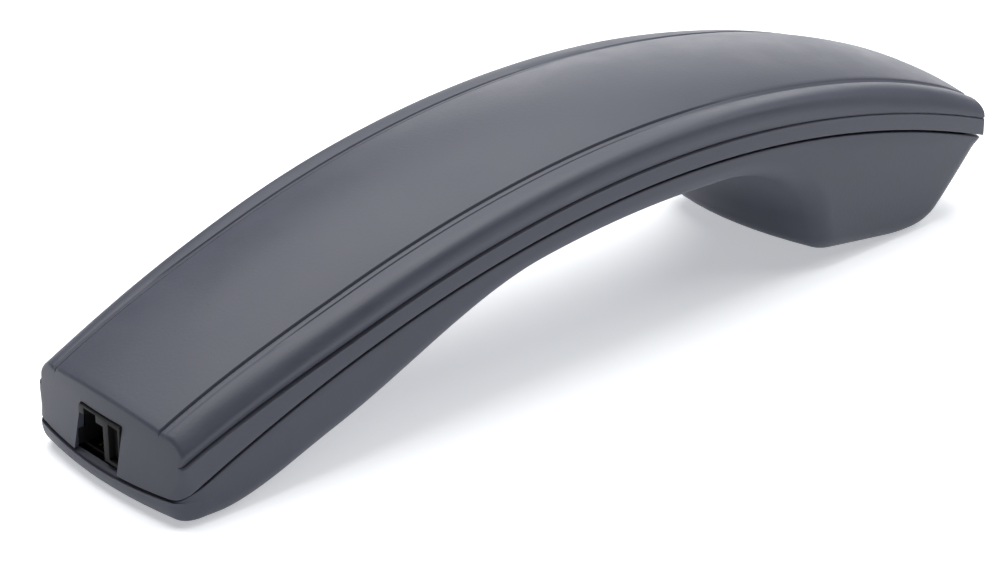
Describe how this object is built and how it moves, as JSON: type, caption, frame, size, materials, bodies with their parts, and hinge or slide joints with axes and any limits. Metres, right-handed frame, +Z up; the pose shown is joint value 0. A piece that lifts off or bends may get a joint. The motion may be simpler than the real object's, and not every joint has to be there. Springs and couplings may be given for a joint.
{
  "type": "corded telephone handset",
  "caption": "Curved desk-telephone handset with snap-together shells, ear and mouth capsules, ballast and a cord jack.",
  "frame": {"origin": "on the resting surface, under the middle of the handset's box", "axes": "+X from the jack end to the ear end, +Y across the handle, +Z up, away from the resting surface, through the back cover"},
  "size_m": [0.2062, 0.0472, 0.0442],
  "materials": {
    "shell_plastic": "satin moulded plastic, fine spark texture, slightly bluish dark grey",
    "black_plastic": "plain moulded plastic",
    "jack_plastic": "glossy moulded plastic",
    "plated_steel": "zinc plated steel",
    "magnet": "sintered magnet, dull",
    "ballast_metal": "cast ballast metal, dull",
    "can_aluminium": "drawn aluminium can",
    "copper": "enamelled copper winding",
    "contact_gold": "gold plated spring wire",
    "diaphragm_film": "thin formed polymer film",
    "foam_rubber": "soft closed-cell rubber",
    "dust_cloth": "fine woven acoustic cloth",
    "circuit_board": "glass laminate with green solder mask",
    "lead_red": "flexible insulation",
    "lead_green": "flexible insulation",
    "lead_yellow": "flexible insulation",
    "lead_black": "flexible insulation"
  },
  "bodies": {
    "casing": {"back_shell": "shell_plastic", "front_shell": "shell_plastic", "shell_screw_1": "plated_steel", "shell_screw_2": "plated_steel", "ear_cloth": "dust_cloth", "receiver_gasket": "foam_rubber", "receiver_cap": "black_plastic", "receiver_pole_plate": "plated_steel", "receiver_magnet": "magnet", "receiver_yoke": "plated_steel", "receiver_basket": "black_plastic", "receiver_terminal_board": "circuit_board", "mic_cloth": "dust_cloth", "mic_boot": "foam_rubber", "mic_can": "can_aluminium", "mic_board": "circuit_board", "ballast_bar": "ballast_metal", "ballast_screw_1": "plated_steel", "ballast_screw_2": "plated_steel", "jack_housing": "jack_plastic", "jack_board": "circuit_board", "receiver_lead_1": "lead_red", "receiver_lead_2": "lead_green", "mic_lead_1": "lead_yellow", "mic_lead_2": "lead_black", "jack_pin_1": "contact_gold", "jack_pin_2": "contact_gold", "jack_pin_3": "contact_gold", "jack_pin_4": "contact_gold"},
    "diaphragm": {"receiver_diaphragm": "diaphragm_film", "receiver_voice_coil": "copper"},
    "contact_1": {"jack_contact_1": "contact_gold"},
    "contact_2": {"jack_contact_2": "contact_gold"},
    "contact_3": {"jack_contact_3": "contact_gold"},
    "contact_4": {"jack_contact_4": "contact_gold"}
  },
  "joints": [
    {"name": "diaphragm_travel", "type": "slide", "parent": "casing", "child": "diaphragm", "axis": [0.1551, 0, 0.9879], "range_m": [-0.00025, 0.00025], "stiffness_N_per_m": 1000},
    {"name": "contact_1_flex", "type": "hinge", "parent": "casing", "child": "contact_1", "pos_m": [-0.0991, 0.0011, 0.00505], "axis": [0, 1, 0], "range_deg": [0, 14], "stiffness_Nm_per_rad": 0.03},
    {"name": "contact_2_flex", "type": "hinge", "parent": "casing", "child": "contact_2", "pos_m": [-0.0991, 0.00236, 0.00505], "axis": [0, 1, 0], "range_deg": [0, 14], "stiffness_Nm_per_rad": 0.03},
    {"name": "contact_3_flex", "type": "hinge", "parent": "casing", "child": "contact_3", "pos_m": [-0.0991, 0.00364, 0.00505], "axis": [0, 1, 0], "range_deg": [0, 14], "stiffness_Nm_per_rad": 0.03},
    {"name": "contact_4_flex", "type": "hinge", "parent": "casing", "child": "contact_4", "pos_m": [-0.0991, 0.0049, 0.00505], "axis": [0, 1, 0], "range_deg": [0, 14], "stiffness_Nm_per_rad": 0.03}
  ]
}
